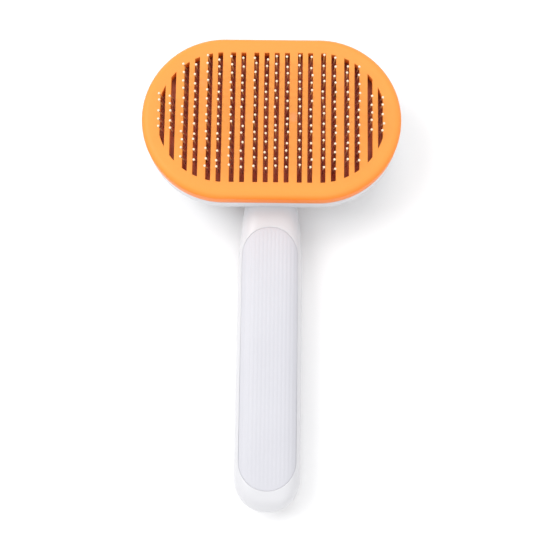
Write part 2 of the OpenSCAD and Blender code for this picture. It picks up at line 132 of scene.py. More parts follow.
def make_piece(name, net, body, finish, replaced=(), weld=0.002, bevel=None, sharp=35):
    """Weld is the distance, in millimetres, within which points are merged. Sharp is the angle, in
    degrees, past which an edge isn't shaded smooth. A bevel, in millimetres, rounds the sharp
    edges in real geometry instead.
    """
    mesh = bpy.data.meshes.new(name)
    points = np.concatenate(net.points) * MM
    mesh.from_pydata(points.tolist(), [], net.faces)
    work = bmesh.new()
    work.from_mesh(mesh)
    bmesh.ops.remove_doubles(work, verts=work.verts, dist=weld * MM)
    bmesh.ops.dissolve_degenerate(work, edges=work.edges, dist=weld * MM / 2)
    bmesh.ops.recalc_face_normals(work, faces=work.faces)
    open_edges = sum(1 for edge in work.edges if len(edge.link_faces) != 2)
    work.to_mesh(mesh)
    work.free()
    mesh.shade_smooth()
    if not bevel:
        mesh.set_sharp_from_angle(angle=math.radians(sharp))
    piece = bpy.data.objects.new(name, mesh)
    bpy.context.scene.collection.objects.link(piece)
    if bevel:
        round_edges = piece.modifiers.new("rounded edges", "BEVEL")
        round_edges.width = bevel * MM
        round_edges.segments = BEVEL_STEPS
        round_edges.limit_method = "ANGLE"
        round_edges.angle_limit = math.radians(BEVEL_FROM)
        round_edges.harden_normals = True
    mesh.materials.append(finish)
    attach(piece, body)
    if replaced:
        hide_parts(*replaced)
    print(f"{name}: {len(mesh.polygons)} faces, {open_edges} open edges")
    return piece


print("faces of a grid of 3 by 3 points:", len(grid_quads(3, 3)))
print("faces if it closes both ways:", len(grid_quads(3, 3, True, True)))

# %% [markdown]
# The head is a stadium: a straight spine with a half circle round each end. An outline could be drawn
# and extruded, but then its edges would need a bevel. A point on any stadium wall is its spine point
# plus an outward normal times a radius, so one loop of spine points and normals serves the bowl, the
# cushion and the skirt, and a profile of radii and heights rounds their edges on the way.

# %% Stadium loops


def stadium_loop(half_spine, arc_steps=40, straight_steps=16):
    """Spine points and outward normals round a stadium, anticlockwise from the lower right.

    On an arc the normal turns through half a circle about the spine's end; on a straight it is
    fixed and the spine point slides along.
    """
    turn = np.linspace(-np.pi / 2, np.pi / 2, arc_steps, endpoint=False)
    slide = np.linspace(half_spine, -half_spine, straight_steps, endpoint=False)
    right = np.stack([np.cos(turn), np.sin(turn)], -1)
    normals = np.concatenate([right, np.tile([0.0, 1.0], (straight_steps, 1)), -right,
                              np.tile([0.0, -1.0], (straight_steps, 1))])
    x = np.concatenate([np.full(arc_steps, half_spine), slide, np.full(arc_steps, -half_spine), -slide])
    return np.stack([x, np.zeros_like(x)], -1), normals


def sweep_loop(loop, profile):
    """Carries a profile of (radius, height) pairs round a loop of spine points and normals."""
    spine_points, normals = loop
    profile = np.asarray(profile, float)
    flat = spine_points[None] + normals[None] * profile[:, 0, None, None]
    heights = np.broadcast_to(profile[:, 1, None, None], flat.shape[:2] + (1,))
    return np.concatenate([flat, heights], -1)


def arc(centre, radius, start, end, steps=8):
    """Points on an arc of a profile, from the start angle to the end angle, in degrees."""
    angle = np.radians(np.linspace(start, end, steps))
    return np.stack([centre[0] + radius * np.cos(angle), centre[1] + radius * np.sin(angle)], -1)


print("points round the head:", len(stadium_loop(spine)[0]))

# %% [markdown]
# A finish is a small tree of shader nodes. It could be wired up link by link, but as plain arithmetic
# it reads like the recipe it is: a Value wraps a socket, and adding or multiplying Values adds the
# Math nodes. Colours go through Mix nodes. One method makes every other kind of node.

# %% Shader arithmetic


def plug(tree, socket, item):
    """Puts a number, a colour or another node's output into a socket."""
    if isinstance(item, Value):
        tree.links.new(item.socket, socket)
    elif isinstance(item, bpy.types.NodeSocket):
        tree.links.new(item, socket)
    else:
        socket.default_value = item


class Value:
    """A socket that can be added, multiplied and raised like a number."""

    def __init__(self, tree, socket):
        self.tree, self.socket = tree, socket

    def math(self, operation, *others, swap=False, clamp=False):
        """Adds a Math node on this value and the others, the other way round if swapped."""
        node = self.tree.nodes.new("ShaderNodeMath")
        node.operation = operation
        node.use_clamp = clamp
        items = [self, *others]
        for socket, item in zip(node.inputs, items[::-1] if swap else items):
            plug(self.tree, socket, item)
        return Value(self.tree, node.outputs[0])

    def __add__(self, other):
        return self.math("ADD", other)

    def __sub__(self, other):
        return self.math("SUBTRACT", other)

    def __rsub__(self, other):
        return self.math("SUBTRACT", other, swap=True)

    def __mul__(self, other):
        return self.math("MULTIPLY", other)

    def __truediv__(self, other):
        return self.math("DIVIDE", other)

    def __pow__(self, other):
        return self.math("POWER", other)

    __radd__ = __add__
    __rmul__ = __mul__

    def clamp(self):
        """The value held between 0 and 1."""
        return self.math("ADD", 0.0, clamp=True)

    def ramp(self, start, end):
        """0 below start, 1 above end, straight between."""
        return ((self - start) / (end - start)).clamp()


def colour(red, green, blue):
    """A colour given as screen values from 0 to 255, as the linear light that shaders use."""
    screen = np.array([red, green, blue]) / 255
    linear = np.where(screen <= 0.04045, screen / 12.92, ((screen + 0.055) / 1.055) ** 2.4)
    return (*linear.tolist(), 1.0)


print("middle grey as light:", round(colour(128, 128, 128)[0], 3))

# %% [markdown]
# Every finish starts from the same few nodes: the object's coordinates, split into x, y and z, and a
# Principled shader at the end. Object coordinates are used, not the box of the piece, so a pattern
# keeps its scale from piece to piece and stays in place as a piece moves.

# %% A finish in the making


class Finish:
    """A material being made: its node tree and the pieces' own coordinates, in metres."""

    def __init__(self, name):
        self.material = bpy.data.materials.new(name)
        self.material.use_nodes = True
        self.tree = self.material.node_tree
        self.tree.nodes.clear()
        self.place = self.node("ShaderNodeTexCoord").outputs["Object"]
        parts = self.node("ShaderNodeSeparateXYZ", Vector=self.place).outputs
        self.x, self.y, self.z = (Value(self.tree, part) for part in parts)

    def node(self, kind, settings=None, **sockets):
        """Adds a node, sets its settings first, then its sockets by name."""
        node = self.tree.nodes.new(kind)
        for key, value in (settings or {}).items():
            setattr(node, key, value)
        for key, item in sockets.items():
            plug(self.tree, node.inputs[key.replace("_", " ")], item)
        return node

    def noise(self, scale, detail=3.0, roughness=0.5, stretch=(1, 1, 1)):
        """Cloudy noise from 0 to 1, with scale in features per metre and a stretch per axis."""
        mapping = self.node("ShaderNodeMapping", Vector=self.place, Scale=stretch)
        found = self.node("ShaderNodeTexNoise", Vector=mapping.outputs[0], Scale=scale, Detail=detail,
                          Roughness=roughness)
        return Value(self.tree, found.outputs["Fac"])

    def mix(self, factor, first, second):
        """Blends two colours."""
        node = self.node("ShaderNodeMix", {"data_type": "RGBA"}, Factor=factor)
        plug(self.tree, node.inputs[6], first)
        plug(self.tree, node.inputs[7], second)
        return node.outputs[2]

    def done(self, base, roughness, height=None, depth=0.00005, metallic=0.0, **constants):
        """Closes the tree with a Principled shader, bumped by height, whose unit is depth metres."""
        shader = self.node("ShaderNodeBsdfPrincipled", Roughness=roughness, Metallic=metallic)
        plug(self.tree, shader.inputs["Base Color"], base)
        for key, value in constants.items():
            shader.inputs[key.replace("_", " ")].default_value = value
        if height is not None:
            bump = self.node("ShaderNodeBump", Height=height, Distance=depth)
            self.tree.links.new(bump.outputs[0], shader.inputs["Normal"])
        self.node("ShaderNodeOutputMaterial", Surface=shader.outputs[0])
        print(f"{self.material.name}: {len(self.tree.nodes)} nodes")
        return self.material


# %% [markdown]
# The head's orange is moulded plastic with a soft sheen. One flat colour would look like paint, so below
# the
# flat face the colour is a painted shade: a deeper, more saturated orange that stands in for the lesser
# light and the orange bounce on the rounded edge, the skirt, the posts and the button. Slow noise gives
# the flow of the melt, and fine noise the skin of the mould. Over each post behind the plate the plastic
# shrank a little and left a faint mark, strongest over the first.

# %% Orange plastic
ORANGE_FACE = colour(245, 157, 76)
# The second orange is painted shade below the flat face; the slow noise of the melt also leans towards it
# on the face.
ORANGE_FLOW_AND_PAINTED_SHADE = colour(252, 129, 0)
ORANGE_MARK = colour(244, 160, 110)
# Depths below the face, in millimetres, where the painted shade is full and where it ends.
PAINTED_SHADE_BELOW, FACE_ABOVE = 2.6, 0.3
FIRST_MARK_R, MARK_R = 2.6, 2.2
MARK_CORE = 0.35
FAINT = 0.35
PLATE_T = 2.2
plate_z = face_z - PLATE_T


def sink_mark(finish, post, radius):
    """1 near a post's point in the plan, falling to 0 at the radius, both in millimetres."""
    x, y = (part * MM for part in post)
    away = ((finish.x - x) ** 2.0 + (finish.y - y) ** 2.0) ** 0.5
    return 1.0 - away.ramp(radius * MM * MARK_CORE, radius * MM)


def orange_plastic(places):
    """Moulded orange plastic with sink marks over the posts' places, plan points in millimetres."""
    finish = Finish("orange plastic")
    flow = finish.noise(26, 4)
    skin = finish.noise(2600, 2)
    # Painted shade: 1 below the flat face, falling to 0 on it, where the deeper orange stands in for
    # lesser light and orange bounce.
    edge = 1.0 - finish.z.ramp((face_z - PAINTED_SHADE_BELOW) * MM, (face_z - FACE_ABOVE) * MM)
    base = finish.mix((edge * 0.85 + (flow - 0.5) * 0.3).clamp(), ORANGE_FACE, ORANGE_FLOW_AND_PAINTED_SHADE)
    marks = sink_mark(finish, places[0], FIRST_MARK_R)
    for post in places[1:]:
        marks = marks + sink_mark(finish, post, MARK_R) * FAINT
    marks = marks.clamp() * finish.z.ramp(plate_z * MM, face_z * MM)
    base = finish.mix(marks * 0.6, base, ORANGE_MARK)
    roughness = 0.33 + (flow - 0.5) * 0.12 + (skin - 0.5) * 0.1
    height = skin * 0.25 + flow * 0.5 - marks * 0.8
    return finish.done(base, roughness, height, 0.00006, Specular_IOR_Level=0.1)


print(f"the plate is {PLATE_T} mm thick, and its underside is at {plate_z:.1f} mm")

# %% [markdown]
# The bowl and the handle are white plastic with a satin skin. The grip panels are a softer, slightly
# violet grey with a fine stipple. The inner mouldings are the same plastic left unpolished. The three
# differ only in colour, gloss and grain, so one function makes them all.

# %% White plastics


def white_plastic(name, light, shade, gloss, stipple):
    """Moulded plastic between two whites, with a stipple given in features per metre."""
    finish = Finish(name)
    flow = finish.noise(18, 4)
    skin = finish.noise(stipple, 2)
    handled = finish.noise(70, 5, 0.6)
    base = finish.mix(flow.ramp(0.3, 0.7), light, shade)
    roughness = gloss + (skin - 0.5) * 0.12 + (handled - 0.5) * 0.1
    return finish.done(base, roughness, skin * 0.35 + flow * 0.4, 0.00005)


white_skin = white_plastic("white plastic", colour(216, 216, 219), colour(209, 209, 213), 0.34, 2400)
grip_skin = white_plastic("grip plastic", colour(206, 206, 212), colour(200, 200, 207), 0.52, 3800)
inner_skin = white_plastic("unpolished plastic", colour(214, 212, 208), colour(204, 202, 198), 0.5, 1500)

# %% [markdown]
# The cushion behind the slots is brown-red rubber, matt and a little uneven. The pins are drawn steel
# wire. Their scratches run along them, which is nearly along Z, so the noise is drawn out that way and
# needs no map of the surface. The tips are drops of warm resin under a clear coat.

# %% Rubber, wire and resin


def brown_rubber():
    """Matt rubber, mottled between a dark and a mauve brown."""
    finish = Finish("brown rubber")
    mottle = finish.noise(120, 5, 0.65)
    grain = finish.noise(1800, 3)
    base = finish.mix(mottle.ramp(0.3, 0.7), colour(176, 70, 36), colour(226, 134, 100))
    return finish.done(base, 0.62 + (grain - 0.5) * 0.2, grain * 0.6 + mottle, 0.0002)


def drawn_steel(name, tint, roughness=0.3, stretch=(1, 1, 0.05)):
    """Bare steel with fine lines along the stretched axis."""
    finish = Finish(name)
    lines = finish.noise(5000, 2, 0.5, stretch)
    cloud = finish.noise(90, 3)
    base = finish.mix(cloud.ramp(0.25, 0.75), tint, colour(150, 148, 150))
    rough = roughness + (lines - 0.5) * 0.2 + (cloud - 0.5) * 0.1
    return finish.done(base, rough, lines, 0.00002, metallic=1.0)


def tip_resin():
    """Warm white resin, with small changes of tone from drop to drop."""
    finish = Finish("tip resin")
    tone = finish.noise(300, 1)
    base = finish.mix(tone, colour(240, 216, 184), colour(250, 236, 214))
    return finish.done(base, 0.22 + (tone - 0.5) * 0.1, finish.noise(2500, 2), 0.00002,
                       Coat_Weight=0.4)


rubber = brown_rubber()
wire_steel = drawn_steel("wire steel", colour(228, 222, 218), 0.38)
screw_steel = drawn_steel("zinc plated steel", colour(196, 198, 204), 0.35, (1, 1, 1))
spring_steel = drawn_steel("spring steel", colour(170, 172, 178), 0.32, (1, 1, 1))
resin = tip_resin()

# %% [markdown]
# The plate's slots stand in front of the pins, two slots to a column of staples. Their places could be
# typed in, but read from the boxes of the columns they stay right if the design moves: a leg stands
# one wire radius inside each side of its column's box.

# %% Slots, read from the pin columns
COLUMNS = [f"{i:02d}" for i in range(1, 11)]
WIRE_R = 0.225
SLOT_W = 1.9
SLOT_MARGIN = 6.5
EDGE_R = 3.0
column_boxes = [low_high(f"pin_column_{column}") for column in COLUMNS]
leg_x = np.sort([x for low, high in column_boxes for x in (low[0] + WIRE_R, high[0] - WIRE_R)])
slot_r = head_r - SLOT_MARGIN
face_r = head_r - EDGE_R
print("slots at", leg_x.round(2))

# %% [markdown]
# The ejector plate is the orange face that pushes the hair off the pins. Its slots could be cut with
# booleans, but a grid does it cleanly: columns of points run along the slots' edges, and rows run from
# the plate's edge to the slots' ends and then along them.

# %% A grid that follows the slots
SLOT_STEPS, END_STEPS = 3, 14
MARGIN_ROWS, SLOT_ROWS = 4, 15


def half_height(x, radius):
    """Half the height of a stadium of this radius at x: the circle's height past the spine's end."""
    past = np.maximum(np.abs(x) - spine, 0)
    return np.sqrt(np.maximum(radius**2 - past**2, 0))


def plate_columns():
    """X of each grid line, and for each gap between lines whether a slot fills it."""
    edges = np.sort(np.concatenate([leg_x - SLOT_W / 2, leg_x + SLOT_W / 2]))
    lines = [np.linspace(start, end, SLOT_STEPS, endpoint=False)
             for start, end in zip(edges[:-1], edges[1:])]
    is_slot = np.repeat(np.arange(len(lines)) % 2 == 0, SLOT_STEPS)
    turn = np.linspace(math.acos((edges[-1] - spine) / face_r), 0, END_STEPS)
    end_x = spine + face_r * np.cos(turn)
    x = np.concatenate([-end_x[::-1][:-1], *lines, end_x])
    return x, np.pad(is_slot, END_STEPS - 1)


def plate_grid(x):
    """Points of the plate's face in the plan, as columns by rows.

    A row is a share of the way from the edge to the slots' ends, or along the slots. Past the
    last slot the slots' ends shrink in step with the edge, down to nothing at the tip.
    """
    edge_y = half_height(x, face_r)
    last = leg_x[-1] + SLOT_W / 2
    slotted = np.abs(x) <= last + 1e-6
    shrink = half_height(last, slot_r) / half_height(last, face_r)
    slot_y = np.where(slotted, half_height(x, slot_r), edge_y * shrink)
    margin = np.linspace(0, 1, MARGIN_ROWS)[:, None]
    along = np.linspace(-1, 1, SLOT_ROWS)[1:-1, None]
    lower = -edge_y + (edge_y - slot_y) * margin
    y = np.concatenate([lower, along * slot_y, -lower[::-1]])
    return np.stack([np.broadcast_to(x, y.shape), y], -1).transpose(1, 0, 2)


print("columns and rows of the face:", plate_grid(plate_columns()[0]).shape[:2])

# %% [markdown]
# Leaving out the middle quads of a slot's columns opens the slot. The same grid lies under the plate,
# and walls join the two round each hole. The skirt is a profile carried round the border: a wide
# rounding on the face, the outer wall, a small lip, the inner wall and a fillet under the plate.

# %% The slotted plate and its skirt
SKIRT_WALL = 2.0
SKIRT_LIP = 0.35
SKIRT_FILLET = 0.8
SKIRT_ABOVE_RIM = 0.4
SLOT_BEVEL = 0.22
skirt_z = rim_z + SKIRT_ABOVE_RIM


def slotted_plate():
    """The plate with its slots and its skirt, as one closed surface."""
    x, is_slot = plate_columns()
    plan = plate_grid(x)
    columns, rows = plan.shape[:2]
    keep = np.ones((columns - 1, rows - 1), bool)
    keep[is_slot, MARGIN_ROWS - 1:1 - MARGIN_ROWS] = False
    net = Net()
    quads = grid_quads(columns, rows).reshape(columns - 1, rows - 1, 4)
    for height in (face_z, plate_z):
        points = np.concatenate([plan, np.full((columns, rows, 1), height)], -1)
        net.add(points, quads[keep])
    ids = np.arange(columns * rows).reshape(columns, rows)
    under = columns * rows
    framed = np.pad(keep, 1, constant_values=True)
    side = framed[:-1, 1:-1] != framed[1:, 1:-1]
    end = framed[1:-1, :-1] != framed[1:-1, 1:]
    for starts, ends, wall in ((ids[:, :-1], ids[:, 1:], side), (ids[:-1, :], ids[1:, :], end)):
        a, b = starts[wall], ends[wall]
        net.faces.extend(np.stack([a, b, b + under, a + under], -1).tolist())
    border = np.concatenate([plan[:, 0], plan[-2:0:-1, -1]])
    centre = np.stack([np.clip(border[:, 0], -spine, spine), np.zeros(len(border))], -1)
    out = border - centre
    out /= np.linalg.norm(out, axis=1, keepdims=True)
    inner_r = head_r - SKIRT_WALL
    profile = np.concatenate([
        arc((face_r, face_z - EDGE_R), EDGE_R, 90, 0, 9),
        arc((head_r - SKIRT_LIP, skirt_z + SKIRT_LIP), SKIRT_LIP, 0, -90, 4),
        arc((inner_r + SKIRT_LIP, skirt_z + SKIRT_LIP), SKIRT_LIP, -90, -180, 4),
        arc((inner_r - SKIRT_FILLET, plate_z - SKIRT_FILLET), SKIRT_FILLET, 0, 90, 4),
        [[face_r, plate_z]]])
    net.grid(sweep_loop((centre, out), profile), wrap_columns=True)
    return net


def land_x(leg):
    """X of the middle of the land between a leg's slot and the next."""
    return (leg_x[leg] + leg_x[leg + 1]) / 2


NEAR_LAND, FAR_LAND = 11, 15
POST_Y = 14.0
near_x, far_x = land_x(NEAR_LAND), land_x(FAR_LAND)
post_places = [(near_x, 0.0), (-near_x, 0.0)]
post_places += [(sx * far_x, sy * POST_Y) for sx in (1, -1) for sy in (1, -1)]
orange = orange_plastic(post_places)
make_piece("ejector_face", slotted_plate(), "ejector", orange,
           ["ejector_plate"], bevel=SLOT_BEVEL)

# %% [markdown]
# Six posts stand behind the plate and pass through the cushion to the push frame. Behind the wide
# lands stand ribs, and a rim runs round the slots' ends, and both stiffen the plate. A moulded post
# tapers a little so that it leaves the mould. A cube with one end scaled down would do that, but a
# rounded rectangle that shrinks as it goes down rounds the corners as well. A hair gap is kept where
# two pieces would otherwise share a plane.

# %% Posts, ribs and rim behind the plate
POST_W, POST_L = 3.0, 7.0
RIB_T, RIB_DEPTH = 1.2, 1.5
RIB_LANDS = (11, 13, 15, 17)
HAIR_GAP = 0.02


def rounded_rectangle(width, height, radius, corner_steps=5):
    """Loop of a rectangle with rounded corners: four quarter circles joined by straight sides."""
    turns = np.radians(np.linspace(0, 90, corner_steps))
    loop = []
    for quarter, (sx, sy) in enumerate([(1, 1), (-1, 1), (-1, -1), (1, -1)]):
        angle = turns + quarter * np.pi / 2
        loop.append(np.stack([sx * (width / 2 - radius) + radius * np.cos(angle),
                              sy * (height / 2 - radius) + radius * np.sin(angle)], -1))
    return np.concatenate(loop)


def tapered_post(centre, width, height, top, bottom, draft=0.004, radius=0.35):
    """A closed post: a rounded rectangle scaled down by the draft for each millimetre of depth."""
    loop = rounded_rectangle(width, height, radius)
    levels = np.array([0, 0, 0.5, 1, 1]) * (bottom - top) + top
    scale = np.array([0, 1, 1, 1, 0]) * (1 - draft * np.abs(levels - top))
    plan = loop[None] * scale[:, None, None] + np.array(centre)
    return np.concatenate([plan, np.broadcast_to(levels[:, None, None], plan.shape[:2] + (1,))], -1)


posts = Net()
post_top, rib_low = plate_z - HAIR_GAP, plate_z - RIB_DEPTH
for centre in post_places:
    posts.grid(tapered_post(centre, POST_W, POST_L, post_top, frame_top + HAIR_GAP), wrap_columns=True)
for land in RIB_LANDS:
    length = 2 * half_height(land_x(land), slot_r)
    for side in (1, -1):
        rib = tapered_post((side * land_x(land), 0), RIB_T, length, post_top, rib_low, radius=0.3)
        posts.grid(rib, wrap_columns=True)
rim = [(slot_r, post_top), (slot_r, rib_low), (slot_r + RIB_T, rib_low), (slot_r + RIB_T, post_top)]
posts.grid(sweep_loop(stadium_loop(spine), rim), wrap_rows=True, wrap_columns=True)
make_piece("ejector_posts", posts, "ejector", orange)

# %% [markdown]
# A flat wall with round openings isn't a grid. Booleans could cut it, and leave long thin faces in
# their wake. Here Blender's own triangulation joins the loops of points, and the triangles whose
# middle lies in an opening are left out.

# %% Flat walls with openings


def circle_loop(radius, centre=(0, 0), steps=64):
    """Points of a circle in the plan, anticlockwise."""
    angle = np.linspace(0, 2 * np.pi, steps, endpoint=False)
    return np.stack([centre[0] + radius * np.cos(angle), centre[1] + radius * np.sin(angle)], -1)


def inside(points, loop):
    """True where a point lies inside a loop.

    A ray from the point to its right then crosses the loop's sides an odd number of times.
    """
    start, end = loop, np.roll(loop, -1, axis=0)
    x, y = points[:, :1], points[:, 1:]
    straddles = (start[:, 1] > y) != (end[:, 1] > y)
    slope = (end[:, 0] - start[:, 0]) / np.where(straddles, end[:, 1] - start[:, 1], 1)
    return (straddles & (x < start[:, 0] + (y - start[:, 1]) * slope)).sum(1) % 2 == 1


def flat_region(net, height, outer, holes):
    """Fills the plan between an outer loop and the loops of its holes with triangles at one height."""
    loops = [outer, *holes]
    starts = np.cumsum([0] + [len(loop) for loop in loops])
    edges = [(start + i, start + (i + 1) % len(loop))
             for start, loop in zip(starts, loops) for i in range(len(loop))]
    found = delaunay_2d_cdt([Vector(p) for p in np.concatenate(loops)], edges, [], 1, 1e-6)
    corners = np.array([tuple(v) for v in found[0]])
    triangles = np.array(found[2])
    middle = corners[triangles].mean(1)
    keep = ~np.any([inside(middle, hole) for hole in holes], axis=0)
    net.add(np.column_stack([corners, np.full(len(corners), height)]), triangles[keep])


print("centre inside a circle:", inside(np.zeros((1, 2)), circle_loop(1.0)))

# %% [markdown]
# The bowl is the white housing behind the plate, a stadium too. Its wall is a profile carried round:
# a wide rounded edge from the flat back, the wall, the rim and the inside. The back has openings for
# the button and the screws, and a turned collar rings the button.

# %% Sizes of the bowl
BACK_Z = 10.0
BACK_R = 11.0
BOWL_WALL = 2.2
RIM_R = 0.4
HUB_R = 16.5
COLLAR_H = 1.2
COLLAR_OUTER_R, COLLAR_INNER_R = 0.5, 0.4
SCREW_R = 2.5
SCREW_SEAT = 2.0
SCREW_HEAD_R = 2.3
POCKET_STEP = 0.15
HUB_ANGLE = 56
button_r = button_high[0]
hole_r = button_r + 0.15
flat_r = head_r - BACK_R
side_x, hub_y = (low_high("carrier_screws")[1] - SCREW_HEAD_R)[:2]
hub_x = hub_y / math.tan(math.radians(HUB_ANGLE))
screw_places = [(side_x, 0.0), (-side_x, 0.0)]
screw_places += [(sx * hub_x, sy * hub_y) for sx in (1, -1) for sy in (1, -1)]
print("screws at", np.round(screw_places, 1).tolist())

# %% The bowl


def ring_profile(net, profile, centre=(0, 0), steps=64):
    """Turns a profile of (radius, height) pairs about an upright axis through the centre."""
    loop = circle_loop(1.0, (0, 0), steps)
    net.grid(sweep_loop((np.tile(centre, (steps, 1)).astype(float), loop), profile), wrap_columns=True)


def bowl():
    """The bowl as one closed surface, with its collar and the pockets of its screws."""
    net = Net()
    loop = stadium_loop(spine)
    corner = (flat_r, BACK_Z + BACK_R)
    profile = np.concatenate([
        arc(corner, BACK_R, -90, 0, 16),
        arc((head_r - RIM_R, rim_z - RIM_R), RIM_R, 0, 90, 4),
        arc((head_r - BOWL_WALL + RIM_R, rim_z - RIM_R), RIM_R, 90, 180, 4),
        arc(corner, BACK_R - BOWL_WALL, 0, -90, 12)])
    net.grid(sweep_loop(loop, profile), wrap_columns=True)
    outline = loop[0] + loop[1] * flat_r
    pockets = [circle_loop(SCREW_R, place, 32) for place in screw_places]
    flat_region(net, BACK_Z, outline, [circle_loop(HUB_R, steps=96), *pockets])
    flat_region(net, BACK_Z + BOWL_WALL, outline, [circle_loop(hole_r, steps=96)])
    low = BACK_Z - COLLAR_H
    collar = np.concatenate([
        [[HUB_R, BACK_Z]],
        arc((HUB_R - COLLAR_OUTER_R, low + COLLAR_OUTER_R), COLLAR_OUTER_R, 0, -90, 5),
        arc((hole_r + COLLAR_INNER_R, low + COLLAR_INNER_R), COLLAR_INNER_R, -90, -180, 5),
        [[hole_r, BACK_Z + BOWL_WALL]]])
    ring_profile(net, collar, steps=96)
    pocket_r = SCREW_R - POCKET_STEP
    pocket = [(SCREW_R, BACK_Z), (pocket_r, BACK_Z + POCKET_STEP), (pocket_r, BACK_Z + SCREW_SEAT),
              (0, BACK_Z + SCREW_SEAT)]
    for place in screw_places:
        ring_profile(net, pocket, place, 32)
    return net


make_piece("head_bowl", bowl(), "brush", white_skin, ["head_housing"])

# %% [markdown]
# Six pan-head screws close the head from behind. A screw could be turned and its cross cut with a
# boolean. Here the head is a low dome whose height drops wherever a point lies near one of the two
# arms of the cross, so the pressed edges come out soft, as on a real screw.

# %% Screws in the back
DOME_R, DOME_RISE, DOME_DEPTH = 2.25, 0.7, 1.5
ARM_HALF, ARM_SLOPE = 0.42, 0.16
ARM_REACH, REACH_SLOPE = 1.35, 0.4
CROSS_DEPTH = 0.75
SHANK_R, THREAD_R, THREAD_START, TAIL, POINT = 1.3, 1.0, 0.3, 6.0, 0.6
SCREW_SUNK = 0.35


def cross_head_screw(place, low, rings=20, steps=48):
    """A screw facing down: a dome with a pressed cross, then the side, the seat and the thread.

    The dome rises by a square root of its distance from the rim. The cross is cut by a smooth
    step of the distance to the nearer arm, and shallower towards the ends of the arms.
    """
    share = np.linspace(0, 1, rings)[:, None]
    angle = np.linspace(0, 2 * np.pi, steps, endpoint=False)[None]
    x, y = DOME_R * share * np.cos(angle), DOME_R * share * np.sin(angle)
    dome = DOME_RISE * (1 - np.sqrt(np.maximum(1 - share**2, 0)))
    arm = np.minimum(np.abs(x), np.abs(y))
    reach = np.maximum(np.abs(x), np.abs(y))
    cut = (np.clip((ARM_HALF - arm) / ARM_SLOPE, 0, 1)
           * np.clip((ARM_REACH - reach) / REACH_SLOPE, 0, 1))
    top = np.stack([x, y, np.broadcast_to(low + dome + CROSS_DEPTH * cut, x.shape)], -1)
    shaft = [(DOME_R, DOME_DEPTH), (SHANK_R, DOME_DEPTH), (THREAD_R, DOME_DEPTH + THREAD_START),
             (THREAD_R, TAIL), (0.0, TAIL + POINT)]
    loop = circle_loop(1.0, (0, 0), steps)
    below = sweep_loop((np.zeros((steps, 2)), loop), np.array(shaft) + [0, low])
    return np.concatenate([top, below]) + np.array([place[0], place[1], 0])


screws = Net()
screws.many(np.stack([cross_head_screw(place, BACK_Z + SCREW_SUNK) for place in screw_places]))
make_piece("back_screws", screws, "brush", screw_steel, ["carrier_screws"])

# %% [markdown]
# The thumb button pushes the plate forward. It is a turned cup: a shallow dish for the thumb, a rounded
# edge, and a wall that runs up to the push frame. Two fine grooves round the dish give grip. A lathe
# shape is quickest as a profile turned about an axis, with the grooves as dips in its formula.

# %% The thumb button
DISH_MARGIN, DISH_DEPTH = 3.0, 0.75
GROOVE_DEPTH, GROOVE_W, GROOVE_STEP = 0.25, 0.28, 1.6
BUTTON_EDGE_R = 1.5
BUTTON_WALL = 1.8
BUTTON_FLOOR_Z = 2.4


def button():
    """Profile of the cup: the dish deepens as one minus the square of the radius, with two grooves."""
    dish_r = button_r - DISH_MARGIN
    low, top = button_low[2], button_high[2]
    r = np.linspace(0, dish_r, 40)
    groove = sum(GROOVE_DEPTH * np.exp(-(((r - dish_r + GROOVE_STEP * nth) / GROOVE_W) ** 2))
                 for nth in (1, 2))
    dish = DISH_DEPTH * (1 - (r / dish_r) ** 2) + groove
    face = np.stack([r, low + dish], -1)
    edge = arc((button_r - BUTTON_EDGE_R, low + BUTTON_EDGE_R), BUTTON_EDGE_R, -90, 0, 10)
    inner_r = button_r - BUTTON_WALL
    wall = [(button_r, top), (inner_r, top), (inner_r, BUTTON_FLOOR_Z), (0, BUTTON_FLOOR_Z)]
    net = Net()
    ring_profile(net, np.concatenate([face, edge, wall]), steps=96)
    return net


make_piece("thumb_button_cup", button(), "ejector", orange, ["thumb_button"])

# %% [markdown]
# The return spring sits inside the button and pushes it back. A curve with a round bevel would draw
# it, but as a tube carried along a helix its end turns can lie closer, as a real spring's do. It is
# fixed at the carrier.

# %% The return spring
COIL_WIRE_R = 0.6
COIL_TURNS = 7
CLOSED_TURNS, CLOSED_RISE = 0.75, 0.045


def spring(sides=10, per_turn=36):
    """A helix of rings: each ring stands on the radius, and the pitch eases at both ends."""
    mean_r = spring_high[0] - COIL_WIRE_R
    share = np.linspace(0, 1, COIL_TURNS * per_turn + 1)
    low, high = spring_low[2] + COIL_WIRE_R, spring_high[2] - COIL_WIRE_R
    closed = CLOSED_TURNS / COIL_TURNS
    rise = np.interp(share, [0, closed, 1 - closed, 1], [0, CLOSED_RISE, 1 - CLOSED_RISE, 1])
    angle = (2 * np.pi * COIL_TURNS * share)[:, None]
    ring = np.linspace(0, 2 * np.pi, sides, endpoint=False)[None]
    r = mean_r + COIL_WIRE_R * np.cos(ring)
    z = low + (high - low) * rise[:, None] + COIL_WIRE_R * np.sin(ring)
    tube = np.stack([r * np.cos(angle), r * np.sin(angle), z], -1)
    caps = [np.repeat(tube[end].mean(0)[None, None], sides, axis=1) for end in (0, -1)]
    net = Net()
    net.grid(np.concatenate([caps[0], tube, caps[1]]), wrap_columns=True)
    return net


coil = make_piece("return_coil", spring(), "brush", spring_steel, ["return_spring"])
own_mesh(coil)

# %% [markdown]
# The rubber cushion lies in the carrier and holds the staples. It is a flat pad with a rounded edge,
# carried round the stadium, and six openings that leave the plate's posts room to slide. It is a firm
# moulded pad, so it is modelled as it lies, with no cloth simulation.

# %% The rubber cushion
POST_ROOM = 0.4
OPENING_R = 0.4
PAD_EDGE_R, PAD_CHAMFER = 1.2, 0.5


